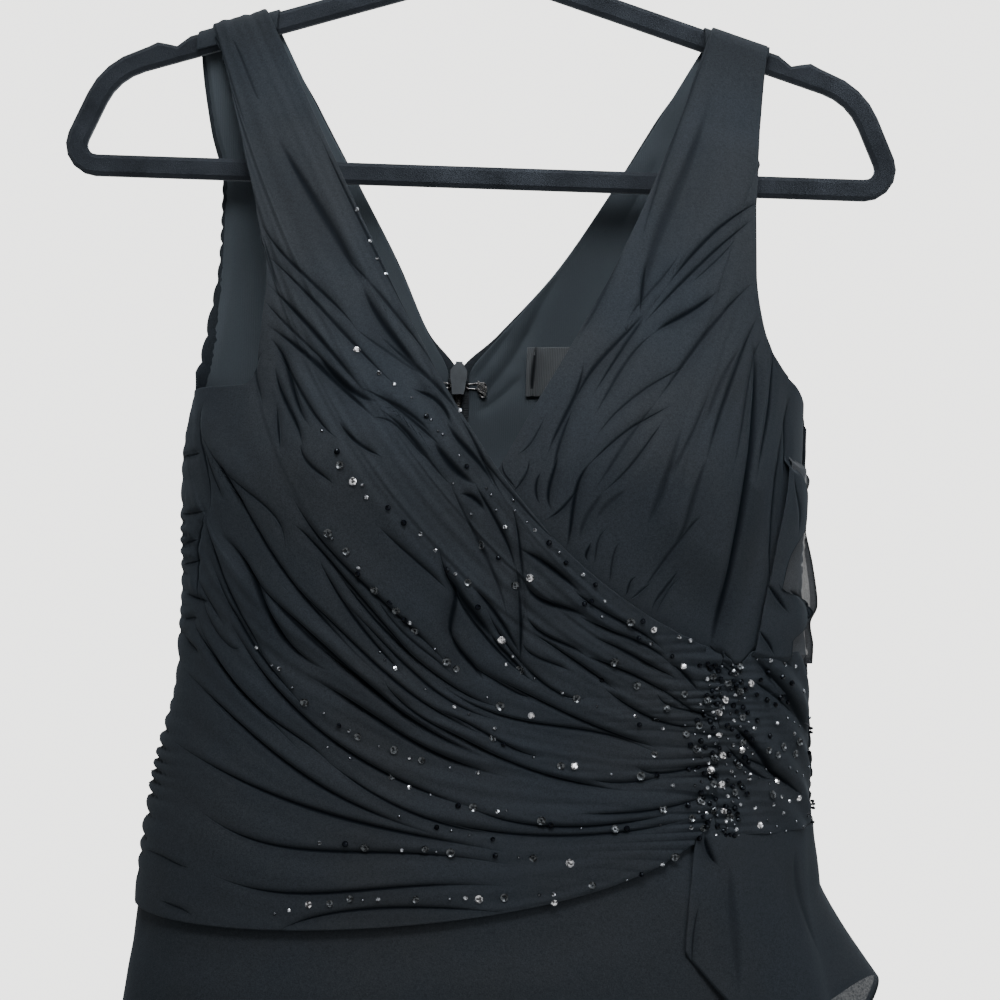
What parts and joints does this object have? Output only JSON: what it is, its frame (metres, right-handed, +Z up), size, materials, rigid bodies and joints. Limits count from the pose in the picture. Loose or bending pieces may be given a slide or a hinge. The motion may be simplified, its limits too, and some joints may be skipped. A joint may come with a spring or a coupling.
{
  "type": "cocktail dress on a slim clothes hanger",
  "caption": "Sleeveless V-neck wrap-front cocktail dress with pleated bodice, beaded waist, side flounces and flared skirt, hanging on a slim flocked hanger.",
  "frame": {"origin": "the inside of the top of the hanger's hook, where a rail carries it", "axes": "+Z up, the front of the dress faces -Y, the wearer's left is at +X"},
  "size_m": [0.5444, 0.2294, 1.1051],
  "materials": {
    "chiffon": "crinkled chiffon over lining, soft sheen",
    "lining_satin": "smooth matte satin",
    "woven_black": "woven tape",
    "painted_slider": "dark painted die casting",
    "velvet_flock": "short velvet flock on a moulded frame",
    "bright_steel": "polished wire"
  },
  "bodies": {
    "dress": {"front_wrap": "chiffon", "front_under": "chiffon", "side_band": "chiffon", "back_right": "chiffon", "back_left": "chiffon", "skirt_front": "chiffon", "skirt_back": "chiffon", "flounce_lower": "chiffon", "flounce_upper": "chiffon", "lining_right": "lining_satin", "lining_left": "lining_satin", "neck_label": "woven_black", "zip_tape": "woven_black", "zip_slider": "painted_slider", "hanger_frame": "velvet_flock", "hanger_hook": "bright_steel"},
    "pull": {"zip_pull": "painted_slider"}
  },
  "joints": [
    {"name": "zip_pull_swing", "type": "hinge", "parent": "dress", "child": "pull", "pos_m": [-0.009, 0.0464, -0.318], "axis": [1, 0, 0], "range_deg": [0, 160]}
  ]
}
